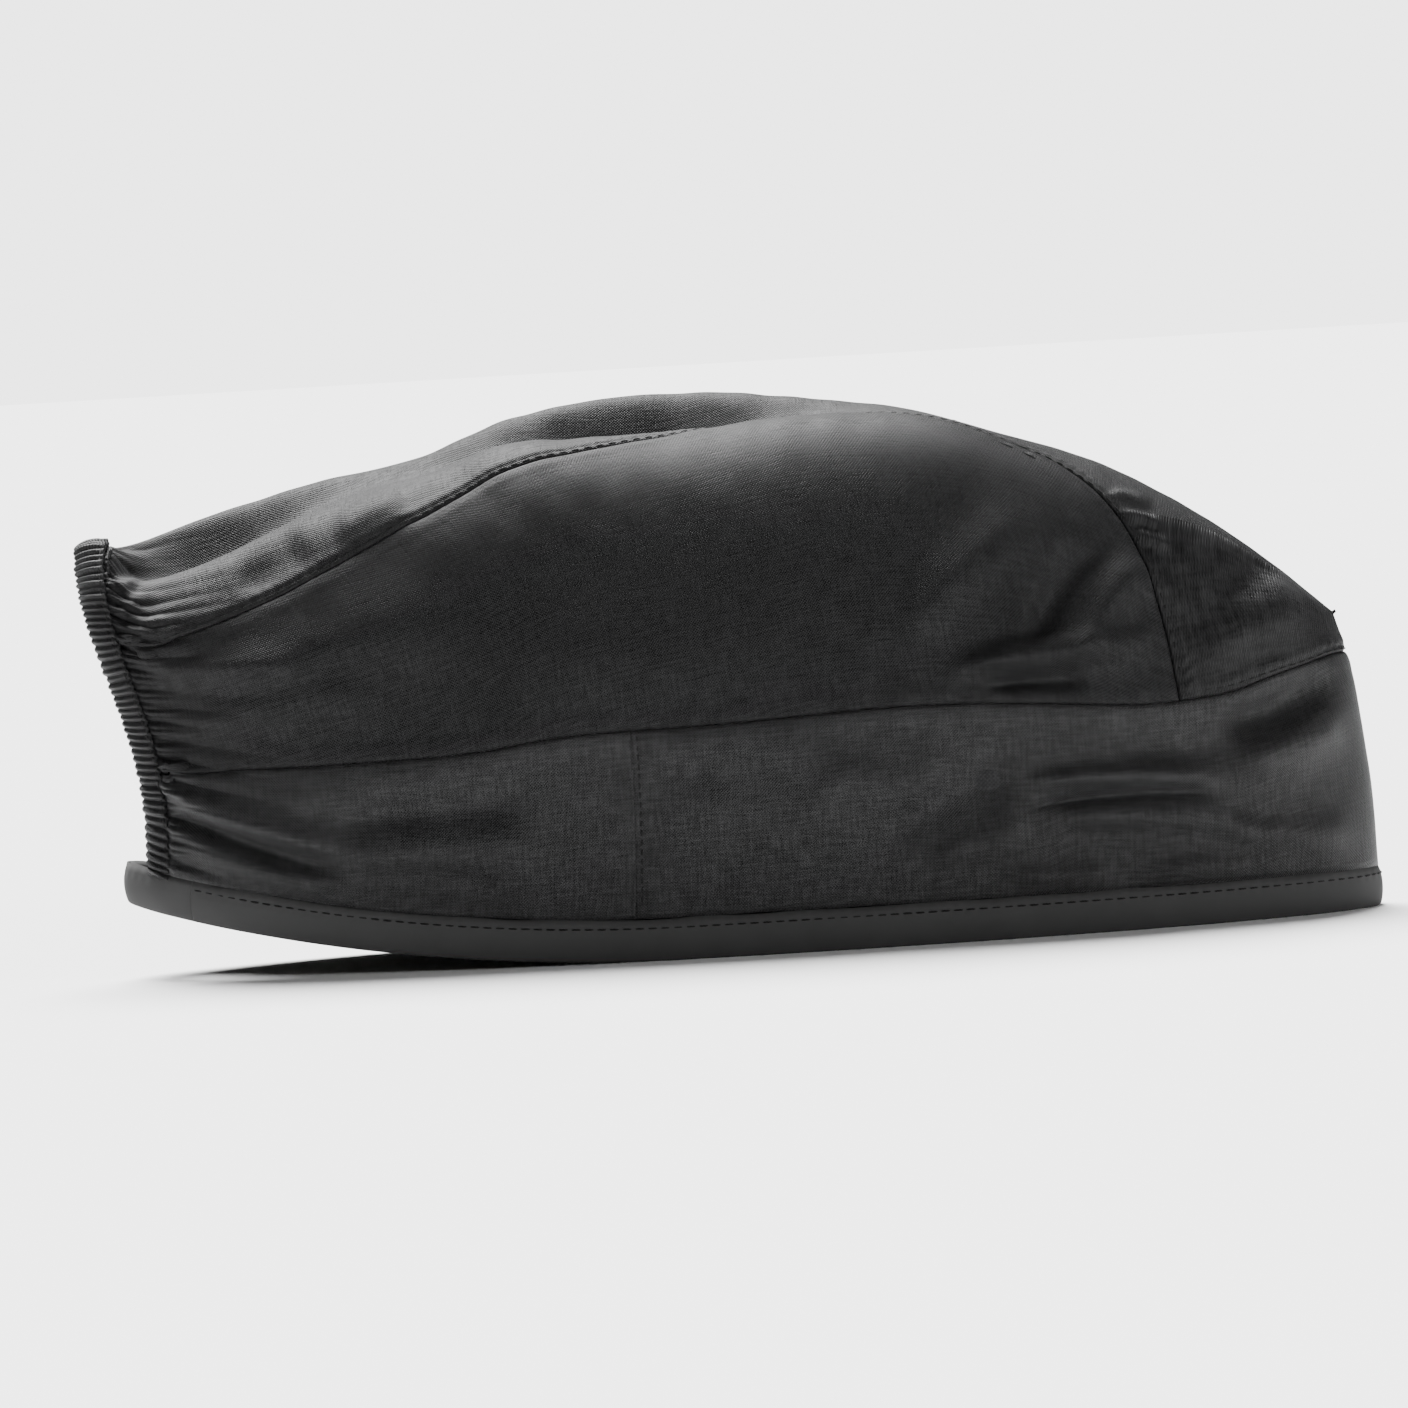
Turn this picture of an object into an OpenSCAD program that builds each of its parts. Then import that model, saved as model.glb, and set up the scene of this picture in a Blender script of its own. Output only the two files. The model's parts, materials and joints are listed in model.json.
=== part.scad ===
// Low fabric chef's cap: banded sides, centre strip over the crown, two side panels,
// a folded hem closed by a nape strap, and an elastic arch over the nape opening.
// Millimetres. +X is the forehead, +Z is up, and the hem rests on Z = 0.

/* [Cap] */
// Length of the hem loop from nape to forehead
cap_length = 270; // [255:1:285]
// Width of the half-open mouth
mouth_width = 72; // [60:1:90]
// Height of the crown's highest fold above the hem's lower edge
cap_height = 123; // [112:1:130]
// How far the hem rises at the nape
nape_lift = 16.5; // [10:0.5:20]
// Thickness of one worked layer of cloth
cloth = 1.2; // [0.9:0.1:1.4]

/* [Hem] */
// Height of the folded hem
hem_height = 8.2; // [7:0.1:10]
// Thickness of the folded hem
hem_thickness = 2.4; // [1.8:0.1:2.8]

/* [Nape] */
// Width of the elastic's casing
casing_width = 7; // [6:0.5:8]
// Thickness of the casing, fold to fold
casing_depth = 2.8; // [2.6:0.1:3.2]
// Length of the nape strap on each side of the centre
strap_reach = 15; // [12:1:22]

/* [Sweatband] */
// Height of the sweatband inside the front band
sweatband_height = 28; // [20:1:32]

/* [Thread] */
// Thickness of the seam thread
thread = 0.7; // [0.5:0.1:0.8]

/* [Hidden] */

RIGHT = -1;               // the wearer's right is -Y
LEFT = 1;
gap = 0.3;                // clear space between neighbouring pieces
half_width = mouth_width / 2;
back_x = -cap_length / 2; // rearmost point of the hem
scale_x = cap_length / 270;
scale_z = cap_height / 123;
overhang = 4 * scale_x;   // the strap stands this far behind the casing's foot
top_back = 142 * scale_x; // the crown's rear edge, behind the hem loop's middle
thread_lift = 0.15;       // clear space between a thread and the cloth
// Shift that puts the origin under the middle of the whole cap
middle_x = (top_back + back_x - 0.4 - thread_lift - thread) / 2;

cloth_colour = [0.11, 0.11, 0.12];
thread_colour = [0.05, 0.05, 0.06];
elastic_colour = [0.16, 0.16, 0.17];

// ---- curves ------------------------------------------------------------------------

// Smooth curve through hand-chosen [position, value] points, as Hermite pieces
function span_at(k, x, i = 0) = i >= len(k) - 2 || x < k[i + 1][0] ? i : span_at(k, x, i + 1);
function slope_at(k, i) =
    let (a = max(i - 1, 0), b = min(i + 1, len(k) - 1))
    (k[b][1] - k[a][1]) / (k[b][0] - k[a][0]);
function through(k, x) =
    let (
        i = span_at(k, x),
        w = k[i + 1][0] - k[i][0],
        t = (x - k[i][0]) / w,
        t2 = t * t,
        t3 = t2 * t
    )
    (2 * t3 - 3 * t2 + 1) * k[i][1] + (t3 - 2 * t2 + t) * w * slope_at(k, i)
    + (3 * t2 - 2 * t3) * k[i + 1][1] + (t3 - t2) * w * slope_at(k, i + 1);

function mix(a, b, t) = a * (1 - t) + b * t;
function bell(x) = exp(-x * x);
function ease(t) = let (c = min(max(t, 0), 1)) c * c * (3 - 2 * c);
function unit(v) = v / norm(v);
function steps(n) = [for (i = [0:n]) i / n];

// ---- side view of the cloth ----------------------------------------------------------
// s runs from the nape edge (0) to the forehead edge (1); h from the hem (0) to the top fold (1)

function hem_rise(x) = nape_lift * pow(max(0, (-15 * scale_x - x) / (120 * scale_x)), 2);
function foot(s) =
    let (x = mix(back_x + overhang, -back_x, s))
    [x, hem_rise(x) + hem_height];

// Height of the top fold along the cap, as fractions of its length and in millimetres
TOP_FOLD = [
    [0, 94], [0.06, 101], [0.17, 107], [0.28, 111.5], [0.36, 119.5], [0.465, 123],
    [0.6, 118.5], [0.745, 107.5], [0.875, 91], [0.96, 73], [1, 64]
];
function top_fold(s) = [mix(-top_back, 128.5 * scale_x, s), through(TOP_FOLD, s) * scale_z];

function cubic(p, t) =
    let (u = 1 - t)
    p[0] * u * u * u + p[1] * 3 * t * u * u + p[2] * 3 * t * t * u + p[3] * t * t * t;
function nape_edge(h) =
    cubic([foot(0), [-127 * scale_x, 52 * scale_z], [-143 * scale_x, 73 * scale_z], top_fold(0)], h);
function front_edge(h) =
    cubic([foot(1), [135 * scale_x, 28 * scale_z], [133 * scale_x, 46 * scale_z], top_fold(1)], h);

// Coons patch between the four edges
function side_view(s, h) =
    mix(foot(s), top_fold(s), h) + mix(nape_edge(h), front_edge(h), s)
    - mix(mix(foot(0), foot(1), s), mix(top_fold(0), top_fold(1), s), h);

// ---- the cloth surface -----------------------------------------------------------------
// f is the angle round a cross-section: -90 at the right hem, 0 on top, 90 at the left hem

function half_width_at(s, a) =
    let (q = min(1, (overhang + (cap_length - overhang) * s) / cap_length))
    half_width * sqrt(4 * q * (1 - q)) + 5 * pow(1 - s, 10) * pow(sin(2 * a), 2);

// The right fold lies lower than the left one, and the cloth sinks between them
function right_fold_drop(s) = 2 * (1 - s) + 13.5 * bell((s - 0.06) / 0.16) + 10 * bell((s - 0.46) / 0.15);
function hollow_depth(s) = 2 * (1 - s) + 7 * bell((s - 0.1) / 0.09) + 10 * bell((s - 0.45) / 0.13);

function cloth_point(s, f) =
    let (
        a = abs(f),
        p = side_view(s, pow(max(0, cos(a)), 0.7)),
        y = sign(f) * half_width_at(s, a) * pow(sin(a), 0.75),
        drop = right_fold_drop(s) * pow(cos(a), 2) / (1 + exp((y - 2) / 3.5)),
        sink = hollow_depth(s) * bell((y - 2) / 6.5)
    )
    [p[0] + middle_x, y, p[1] - ease(s / 0.06) * (drop + sink)];

function normal_at(s, f) =
    let (
        ds = 0.0005,
        df = 0.2,
        s0 = max(0, s - ds),
        s1 = min(1, s + ds),
        f0 = max(-89.99, f - df),
        f1 = min(89.99, f + df)
    )
    unit(cross(cloth_point(s1, f) - cloth_point(s0, f), cloth_point(s, f1) - cloth_point(s, f0)));

function lifted(sf, up) = cloth_point(sf[0], sf[1]) + up * normal_at(sf[0], sf[1]);

// ---- seams, as angles f or as [s, f] places on the right-hand side ------------------------

// Top of the band
BAND_SEAM = [
    [0, 81.5], [0.15, 79.2], [0.33, 77.5], [0.48, 77.2], [0.63, 75.5], [0.8, 73.5],
    [0.85, 71.5], [0.9, 67], [0.96, 54], [1, 39]
];
function band_seam(s) = through(BAND_SEAM, s);

// Seam between the centre strip and a side panel, by position t along it. On top the strip
// lies over to the left, because the right side panel folds over the crown.
SEAM_S = [
    [0, 0], [0.3, 0.3], [0.7, 0.7], [0.76, 0.757], [0.8, 0.79], [0.84, 0.817],
    [0.88, 0.833], [0.94, 0.843], [1, 0.846]
];
SEAM_F = [
    [0, 58], [0.1, 51], [0.2, 42.5], [0.3, 30.5], [0.4, 21], [0.47, 14], [0.53, 7], [0.6, 5],
    [0.68, 7], [0.76, 14], [0.8, 20], [0.84, 30], [0.88, 41], [0.94, 57], [1, 71.75]
];
seam_turn = 0.76;         // where the seam leaves the top and runs down to the band
function crown_seam(t, side) =
    [through(SEAM_S, t), through(SEAM_F, t) + (side == LEFT ? 17 * bell((t - 0.57) / 0.13) : 0)];

// Middle of the centre strip: along the top fold in step with the seam, then down the forehead edge
strip_corner = 0.85;
STRIP_S = [[0, 0], [0.3, 0.3], [0.5, 0.5], [0.62, 0.63], [0.74, 0.81], [0.85, 1]];
function strip_middle(t) =
    t < strip_corner ? [through(STRIP_S, t), 0]
                     : [1, band_seam(1) * (t - strip_corner) / (1 - strip_corner)];

// Upright joint between front and rear band, from the hem (0) to the band seam (1)
function joint_s(v) = 0.396 + 0.009 * v;
casing_s = casing_width / cap_length;
panel_start = casing_s + 0.005; // the panels begin clear of the casing

// ---- solids from grids -------------------------------------------------------------------

// Closed sheet: rows x columns of places on the surface, as two skins and a rim
module sheet(places, outer, inner, turned = false) {
    rows = len(places);
    cols = len(places[0]);
    count = rows * cols;
    skin = [for (row = places) for (p = row) lifted(p, outer)];
    lining = [for (row = places) for (p = row) lifted(p, inner)];
    quads = [for (i = [0:rows - 2]) for (j = [0:cols - 2])
        [i * cols + j, i * cols + j + 1, (i + 1) * cols + j + 1, (i + 1) * cols + j]];
    ring = concat(
        [for (j = [0:cols - 1]) j],
        [for (i = [1:rows - 1]) i * cols + cols - 1],
        [for (j = [cols - 2:-1:0]) (rows - 1) * cols + j],
        [for (i = [rows - 2:-1:1]) i * cols]
    );
    faces = concat(
        [for (q = quads) for (k = [0, 1]) k == 0 ? [q[0], q[1], q[2]] : [q[0], q[2], q[3]]],
        [for (q = quads) for (k = [0, 1])
            k == 0 ? [q[2] + count, q[1] + count, q[0] + count]
                   : [q[3] + count, q[2] + count, q[0] + count]],
        [for (i = [0:len(ring) - 1]) for (k = [0, 1])
            let (a = ring[i], b = ring[(i + 1) % len(ring)])
            k == 0 ? [b, a, a + count] : [b, a + count, b + count]]
    );
    polyhedron(
        points = concat(skin, lining),
        faces = turned ? faces : [for (t = faces) [t[2], t[1], t[0]]]
    );
}

// Solid carried along a path: rings[i] are the cross-section's corners at step i
module swept(rings, closed = false) {
    n = len(rings[0]);
    last = len(rings) - 1;
    sides = [for (i = [0:(closed ? last : last - 1)]) for (j = [0:n - 1]) for (k = [0, 1])
        let (
            a = i * n + j,
            b = i * n + (j + 1) % n,
            c = ((i + 1) % (last + 1)) * n + (j + 1) % n,
            d = ((i + 1) % (last + 1)) * n + j
        )
        k == 0 ? [a, b, c] : [a, c, d]];
    ends = closed ? [] : [[for (j = [n - 1:-1:0]) j], [for (j = [0:n - 1]) last * n + j]];
    polyhedron(points = [for (r = rings) for (p = r) p], faces = concat(sides, ends));
}

// Thread laid on the cloth through a list of [s, f] places
module laid_thread(places) {
    middle = [for (p = places) lifted(p, thread / 2 + thread_lift)];
    ups = [for (p = places) normal_at(p[0], p[1])];
    last = len(places) - 1;
    swept([for (i = [0:last])
        let (
            along = unit(middle[min(last, i + 1)] - middle[max(0, i - 1)]),
            across = unit(cross(along, ups[i]))
        )
        [for (k = [0:5]) middle[i] + thread / 2 * (cos(60 * k) * across + sin(60 * k) * ups[i])]]);
}

// ---- band --------------------------------------------------------------------------------

hem_f = 89.9;             // the band's lower edge
seam_f = 0.35;            // clearance beside a seam, in degrees round the section

module rear_band(side) {
    sheet([for (t = steps(18)) [for (v = steps(7))
        let (s = mix(panel_start, joint_s(v) - 0.0015, t))
        [s, side * mix(hem_f, band_seam(s) + seam_f, v)]]],
        0, -cloth, side == LEFT);
}
module rear_band_right() color(cloth_colour) rear_band(RIGHT);
module rear_band_left() color(cloth_colour) rear_band(LEFT);

// Places across the front, right joint to left joint; t runs from -1 to 1
function round_front(t, start) = 1 - (1 - start) * t * t;
module wrapped_band(setback, outer, inner, top) {
    sheet([for (i = [-20:20]) [for (v = steps(7))
        let (
            t = i / 20,
            s = round_front(t, joint_s(v) + setback),
            side = t < 0 ? RIGHT : LEFT
        )
        [s, side * mix(hem_f, top(s), v)]]],
        outer, inner, true);
}
module front_band() color(cloth_colour)
    wrapped_band(0.0015, 0, -cloth, function(s) band_seam(s) + seam_f);
module sweatband() color(cloth_colour)
    wrapped_band(0.01, -cloth - gap, -cloth - gap - 0.9,
        function(s) acos(pow(sweatband_height / (top_fold(s)[1] - hem_height), 1 / 0.7)));

// ---- crown -------------------------------------------------------------------------------

module side_panel(side) {
    start = panel_start;
    low_left = [start, band_seam(start) - seam_f];
    high_left = crown_seam(start, side);
    function lower(u) = let (s = mix(start, 0.844, u)) [s, band_seam(s) - seam_f];
    function upper(u) = crown_seam(mix(start, seam_turn, u), side) + [-0.002 * u, 0.5];
    function forward(v) = crown_seam(mix(1, seam_turn, v), side) - [0.002, 0.3 * (1 - v)];
    function rearward(v) = mix(low_left, high_left, v);
    sheet([for (u = steps(26)) [for (v = steps(10))
        let (
            p = mix(lower(u), upper(u), v) + mix(rearward(v), forward(v), u)
                - mix(mix(lower(0), lower(1), u), mix(upper(0), upper(1), u), v)
        )
        [max(start, p[0]), side * p[1]]]],
        0, -cloth, side == LEFT);
}
module crown_side_panel_right() color(cloth_colour) side_panel(RIGHT);
module crown_side_panel_left() color(cloth_colour) side_panel(LEFT);

// c runs across the strip from its right seam (-1) to its left seam (1)
function strip_line(t, c) =
    let (
        side = c < 0 ? RIGHT : LEFT,
        m = strip_middle(t),
        e = crown_seam(t, side) + [0.0015 * ease((t - 0.7) / 0.15), -seam_f],
        w = pow(abs(c), mix(1, 2, ease((t - 0.6) / 0.25))),
        p = mix(m, e, w)
    )
    [max(p[0], panel_start), p[1]];
// the strip's last lines are drawn down so that the very last one lies along the band seam
function strip_place(t, c) =
    let (
        side = c < 0 ? RIGHT : LEFT,
        p = strip_line(t, c),
        q = strip_line(1, c),
        f = p[1] + pow(t, 12) * (band_seam(q[0]) - seam_f - q[1])
    )
    [p[0], side * (abs(c) < 0.001 ? (t < strip_corner ? 0 : f) : f)];
module crown_centre_panel() color(cloth_colour)
    sheet([for (i = [0:40]) let (t = i / 40) [for (j = [-8:8]) strip_place(t, j / 8)]], 0, -cloth, false);

// ---- hem and strap ----------------------------------------------------------------------

// The hem loop is an ellipse in plan; its angle runs from 0 at the nape to 180 at the forehead
function loop(angle, out, height) =
    let (
        x = -cap_length / 2 * cos(angle),
        y = -half_width * sin(angle),
        n = unit([x / pow(cap_length / 2, 2), y / pow(half_width, 2), 0])
    )
    [x + middle_x, y, hem_rise(x) + height] + out * n;
module loop_strip(from, to, count, low, high) {
    inside = -hem_thickness + 0.4;
    swept([for (t = steps(count))
        let (a = mix(from, to, t))
        [loop(a, 0.4, low + 0.6), loop(a, 0.4, high - 0.4), loop(a, inside, high - 0.4),
         loop(a, inside, low + 0.6), loop(a, inside + 0.6, low), loop(a, -0.2, low)]]);
}
strap_angle = acos(1 - strap_reach / (cap_length / 2));
module hem_binding() color(cloth_colour)
    loop_strip(strap_angle + 0.15, 360 - strap_angle - 0.15, 72, 0, hem_height);
module nape_strap() color(cloth_colour)
    loop_strip(-strap_angle + 0.15, strap_angle - 0.15, 16, 0, hem_height);

// ---- nape casing and its elastic ------------------------------------------------------------

casing_wall = 0.7;
casing_end = 89.7;        // angle where the casing stops above the strap
// Carries a cross-section of [forward, outward] corners round the nape edge
module round_nape(corners, end) {
    swept([for (i = [0:32])
        let (
            f = end * (i / 16 - 1),
            o = cloth_point(0, f),
            up = normal_at(0.002, f),
            forward = unit(cloth_point(0.01, f) - o)
        )
        [for (c = corners) o + c[0] * forward + c[1] * up]]);
}
module nape_casing() color(cloth_colour) {
    w = casing_width;
    d = -casing_depth;
    k = casing_wall;
    round_nape([
        [w, 0], [w, -k], [k, -k], [k, d + k], [w, d + k], [w, d], [k, d], [0, d + k], [0, -k], [k, 0]
    ], casing_end);
}
module nape_elastic() color(elastic_colour) {
    low = -casing_depth / 2 - 0.35;
    high = -casing_depth / 2 + 0.35;
    round_nape([[casing_width - 0.5, high], [casing_width - 0.5, low], [1.1, low], [1.1, high]], casing_end - 1);
}

// ---- seam threads ---------------------------------------------------------------------------

module hem_thread() color(thread_colour)
    swept([for (i = [0:80])
        let (a = strap_angle + 0.4 + (360 - 2 * strap_angle - 0.8) * i / 80)
        [for (k = [0:5])
            loop(a, 0.4 + thread_lift + thread / 2 * (1 + cos(-60 * k)),
                hem_height - 1.4 + thread / 2 * sin(-60 * k))]]);
module band_seam_thread() color(thread_colour)
    laid_thread([for (i = [-40:40])
        let (t = i / 40, s = round_front(t, 0.06))
        [s, (t < 0 ? RIGHT : LEFT) * (band_seam(s) - 1.4)]]);
module crown_seam_thread(side) {
    laid_thread([for (t = steps(40))
        let (p = crown_seam(mix(0.05, 0.985, t), side))
        [p[0] + 0.004 * ease((t - 0.6) / 0.2), side * (p[1] - 1.2)]]);
}
module crown_seam_thread_right() color(thread_colour) crown_seam_thread(RIGHT);
module crown_seam_thread_left() color(thread_colour) crown_seam_thread(LEFT);
module band_joint_thread(side) {
    laid_thread([for (v = steps(10))
        [joint_s(v) + 0.005, side * mix(89.4, band_seam(joint_s(1)) + 0.8, v)]]);
}
module band_joint_thread_right() color(thread_colour) band_joint_thread(RIGHT);
module band_joint_thread_left() color(thread_colour) band_joint_thread(LEFT);
module casing_thread() color(thread_colour)
    round_nape([for (k = [0:5]) [
        casing_width - 1.2 + thread / 2 * cos(-60 * k),
        thread_lift + thread / 2 * (1 + sin(-60 * k))
    ]], casing_end - 1);

front_band();
rear_band_right();
rear_band_left();
crown_centre_panel();
crown_side_panel_right();
crown_side_panel_left();
hem_binding();
nape_strap();
nape_casing();
nape_elastic();
sweatband();
hem_thread();
band_seam_thread();
crown_seam_thread_right();
crown_seam_thread_left();
band_joint_thread_right();
band_joint_thread_left();
casing_thread();
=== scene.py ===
import json
import math

import bpy
import numpy as np
from mathutils import Matrix, Vector


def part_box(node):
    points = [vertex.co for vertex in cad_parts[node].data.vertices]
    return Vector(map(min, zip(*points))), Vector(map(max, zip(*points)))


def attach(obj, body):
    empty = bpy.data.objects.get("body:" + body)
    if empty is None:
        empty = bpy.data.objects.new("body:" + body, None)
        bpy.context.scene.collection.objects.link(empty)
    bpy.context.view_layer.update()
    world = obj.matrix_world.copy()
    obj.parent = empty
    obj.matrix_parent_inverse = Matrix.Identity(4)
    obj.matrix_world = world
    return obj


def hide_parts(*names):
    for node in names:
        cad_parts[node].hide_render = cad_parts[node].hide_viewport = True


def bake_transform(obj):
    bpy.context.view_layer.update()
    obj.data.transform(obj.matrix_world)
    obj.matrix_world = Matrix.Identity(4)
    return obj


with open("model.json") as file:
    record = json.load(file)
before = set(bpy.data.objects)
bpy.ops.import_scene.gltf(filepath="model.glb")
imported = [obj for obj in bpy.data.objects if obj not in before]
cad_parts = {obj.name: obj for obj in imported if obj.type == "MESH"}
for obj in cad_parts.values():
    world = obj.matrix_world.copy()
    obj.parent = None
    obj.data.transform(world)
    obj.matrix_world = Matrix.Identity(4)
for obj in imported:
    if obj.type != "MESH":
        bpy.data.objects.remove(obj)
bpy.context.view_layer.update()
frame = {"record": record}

bl_info = {
    "name": "Banded Chef Cap",
    "version": (1, 0, 0),
    "blender": (4, 5, 0),
    "location": "View3D > Sidebar > Chef Cap",
    "description": "Builds a low fabric chef's cap with an elastic nape round its packed frame",
    "category": "Add Mesh",
}

MM = 0.001                # the shapes are worked out in millimetres
RIGHT, LEFT = -1, 1       # the wearer's right is -Y
HEM_LOW, HEM_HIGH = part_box("hem_binding")
STRAP_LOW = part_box("nape_strap")[0]
HEM_STANDOFF = 0.4        # how far the hem stands proud of the band, as in the frame
CAP_LENGTH = (HEM_HIGH[0] - STRAP_LOW[0]) / MM - 2 * HEM_STANDOFF
CAP_MIDDLE = (HEM_HIGH[0] + STRAP_LOW[0]) / (2 * MM)
MOUTH_WIDTH = (HEM_HIGH[1] - HEM_LOW[1]) / MM - 2 * HEM_STANDOFF
FINE = 1.0


# ---- properties ----------------------------------------------------------------------------

def length_property(name, description, default):
    """A length in metres that the sidebar shows in scene units."""
    return bpy.props.FloatProperty(
        name=name, description=description, default=default, min=0.0, subtype="DISTANCE", unit="LENGTH")


def colour_property(name, description, default):
    """A colour swatch."""
    return bpy.props.FloatVectorProperty(
        name=name, description=description, default=default, size=3, min=0.0, max=1.0, subtype="COLOR")


class CapSizes(bpy.types.PropertyGroup):
    """Sizes of the cap's cloth."""

    length: length_property("Length", "Hem loop from nape to forehead", CAP_LENGTH * MM)
    mouth: length_property("Mouth", "Width of the half-open mouth", MOUTH_WIDTH * MM)
    height: length_property("Height", "Highest fold of the crown above the floor", 0.123)
    nape_rise: length_property("Nape rise", "How far the hem lifts at the nape", 0.0165)
    hem: length_property("Hem", "Height of the folded hem", 0.0082)
    casing: length_property("Casing", "Width of the elastic's casing", 0.007)
    cloth: length_property("Cloth", "Thickness of one layer of cloth", 0.0007)


class StitchSizes(bpy.types.PropertyGroup):
    """Sizes of the stitching."""

    pitch: length_property("Pitch", "Distance from stitch to stitch", 0.0027)
    stitch: length_property("Stitch", "Length of the thread that shows", 0.0020)
    thread: length_property("Thread", "Thickness of the thread", 0.0004)


class CapColours(bpy.types.PropertyGroup):
    """Colours of the cap and the floor."""

    cloth: colour_property("Cloth", "Woven cloth of the crown", (0.005, 0.005, 0.0052))
    # Painted light: the band and the casing are the crown's own cloth, painted a little lighter to stand for
    # the floor's light on the upright band.
    band: colour_property("Band", "Woven cloth of the band and the casing", (0.0085, 0.0085, 0.0088))
    # Painted light: the hem and strap are the crown's own cloth, painted about seven times lighter to stand
    # for light on the hem.
    hem: colour_property("Hem", "Pressed cloth of hem and strap", (0.036, 0.036, 0.0365))
    lining: colour_property("Lining", "Soft cloth of the sweatband", (0.010, 0.010, 0.0105))
    elastic: colour_property("Elastic", "Woven elastic tape", (0.02, 0.02, 0.021))
    thread: colour_property("Thread", "Sewing thread", (0.002, 0.002, 0.002))
    floor: colour_property("Floor", "Plain floor under the cap", (0.86, 0.86, 0.86))


# ---- small curves ----------------------------------------------------------------------------

def mix(a, b, t):
    """a at t = 0 and b at t = 1, along a straight line."""
    return a * (1 - t) + b * t


def bell(x):
    """Bell curve: 1 in the middle and near 0 beyond 2."""
    return np.exp(-np.square(x))


def ease(t):
    """Smooth step from 0 to 1 as t goes from 0 to 1."""
    t = np.clip(t, 0, 1)
    return t * t * (3 - 2 * t)


def through(points, x):
    """Hermite curve through [position, value] points, with each slope taken from its two neighbours."""
    k = np.array(points, float)
    x = np.asarray(x, float)
    last = len(k) - 1
    before, after = np.maximum(np.arange(last + 1) - 1, 0), np.minimum(np.arange(last + 1) + 1, last)
    slope = (k[after, 1] - k[before, 1]) / (k[after, 0] - k[before, 0])
    i = np.clip(np.searchsorted(k[:, 0], x, side="right") - 1, 0, last - 1)
    wide = k[i + 1, 0] - k[i, 0]
    t = (x - k[i, 0]) / wide
    rise = (t ** 3 - 2 * t ** 2 + t) * wide * slope[i] + (t ** 3 - t ** 2) * wide * slope[i + 1]
    return (2 * t ** 3 - 3 * t ** 2 + 1) * k[i, 1] + (3 * t ** 2 - 2 * t ** 3) * k[i + 1, 1] + rise


def unit(v):
    """Vectors scaled to length 1."""
    return v / np.maximum(np.linalg.norm(v, axis=-1, keepdims=True), 1e-9)


def ripple(x):
    """Rows of round crests with sharp valleys between them, one per unit of x, from -1 to 1."""
    return 2 * np.abs(np.sin(np.pi * x)) - 1


def wander(x, seed, terms=5, spread=2.2):
    """Slow, smooth and repeatable unevenness: a sum of sines of random wavelength and phase, about -1 to
    1. The same seed always gives the same one."""
    rng = np.random.default_rng(seed)
    rate = rng.uniform(0.4, spread, terms)
    phase = rng.uniform(0, 2 * np.pi, terms)
    return np.sin(np.asarray(x)[..., None] * rate + phase).sum(-1) / math.sqrt(terms)


def travel(points, axis=0):
    """Distance gone along a row of points, from 0 at its first point."""
    step = np.linalg.norm(np.diff(points, axis=axis), axis=-1)
    start = np.zeros_like(np.take(step, [0], axis=axis))
    return np.concatenate([start, np.cumsum(step, axis=axis)], axis=axis)


# ---- the cap's pattern -------------------------------------------------------------------------

TOP_FOLD = [
    [0, 94], [0.06, 101], [0.17, 107], [0.28, 111.5], [0.36, 119.5], [0.465, 123],
    [0.6, 118.5], [0.745, 107.5], [0.875, 91], [0.96, 73], [1, 64],
]
BAND_SEAM = [
    [0, 81.5], [0.15, 79.2], [0.33, 77.5], [0.48, 77.2], [0.63, 75.5], [0.8, 73.5],
    [0.85, 71.5], [0.9, 67], [0.96, 54], [1, 39],
]
SEAM_END = 0.846          # s of the crown seam's end on the band seam
SEAM_S = [
    [0, 0], [0.3, 0.3], [0.7, 0.7], [0.76, 0.757], [0.8, 0.79], [0.84, 0.817],
    [0.88, 0.833], [0.94, 0.843], [1, SEAM_END],
]
SEAM_F = [
    [0, 58], [0.1, 51], [0.2, 42.5], [0.3, 30.5], [0.4, 21], [0.47, 14], [0.53, 7], [0.6, 5],
    [0.68, 7], [0.76, 14], [0.8, 20], [0.84, 30], [0.88, 41], [0.94, 57], [1, 71.75],
]
SEAM_TURN = 0.76          # where the crown seam leaves the top and runs down to the band
STRIP_CORNER = 0.85       # where the strip's middle turns down the forehead
STRIP_S = [[0, 0], [0.3, 0.3], [0.5, 0.5], [0.62, 0.63], [0.74, 0.81], [0.85, 1]]
HEM_F = 89.95             # the band's lower edge, as an angle round the section

# Folds in the cloth seen from the side: from x, z to x, z, then bow, half width and height, in millimetres.
BAND_FOLDS = [
    (60, 33, 99, 31.5, 0.8, 2.6, 1.7), (61, 27.8, 98, 28.2, 0.9, 1.2, -1.2),
    (64, 24.5, 104, 21, 1.5, 3, 1.4),
    (100, 20, 131, 17, -1, 4, 1.5), (84, 12, 116, 11, 0.5, 3, 1.1), (102, 42, 128, 50, -1, 4.5, -2.2),
    (104, 33, 129, 42, -1, 5, 2.0), (78, 43, 104, 38, -2, 5, -1.2), (38, 17, 58, 22, 1, 3.5, 1.1),
    (54, 14, 76, 12, -0.5, 2.4, 1.0), (30, 24, 58, 35, 2, 5.5, -1.7), (14, 36, 46, 30, 1, 6, 1.2),
    (-16, 32, 24, 27, 2, 9, 1.3), (-22, 44, 20, 42, 1, 5, 0.8),
    (-126, 42.5, -88, 28, -2, 3.2, 1.9), (-124, 37, -84, 22, -1.5, 2.4, -1.4),
    (-124, 32, -86, 19, -1.5, 3, 1.6),
    (-100, 38, -58, 38, 1.5, 6, 1.0), (-98, 26, -44, 27, -2, 6, 1.6), (-86, 33, -48, 34, 1, 4, -1.2),
    (-84, 21, -52, 17, 1, 4, -1.0),
]
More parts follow.
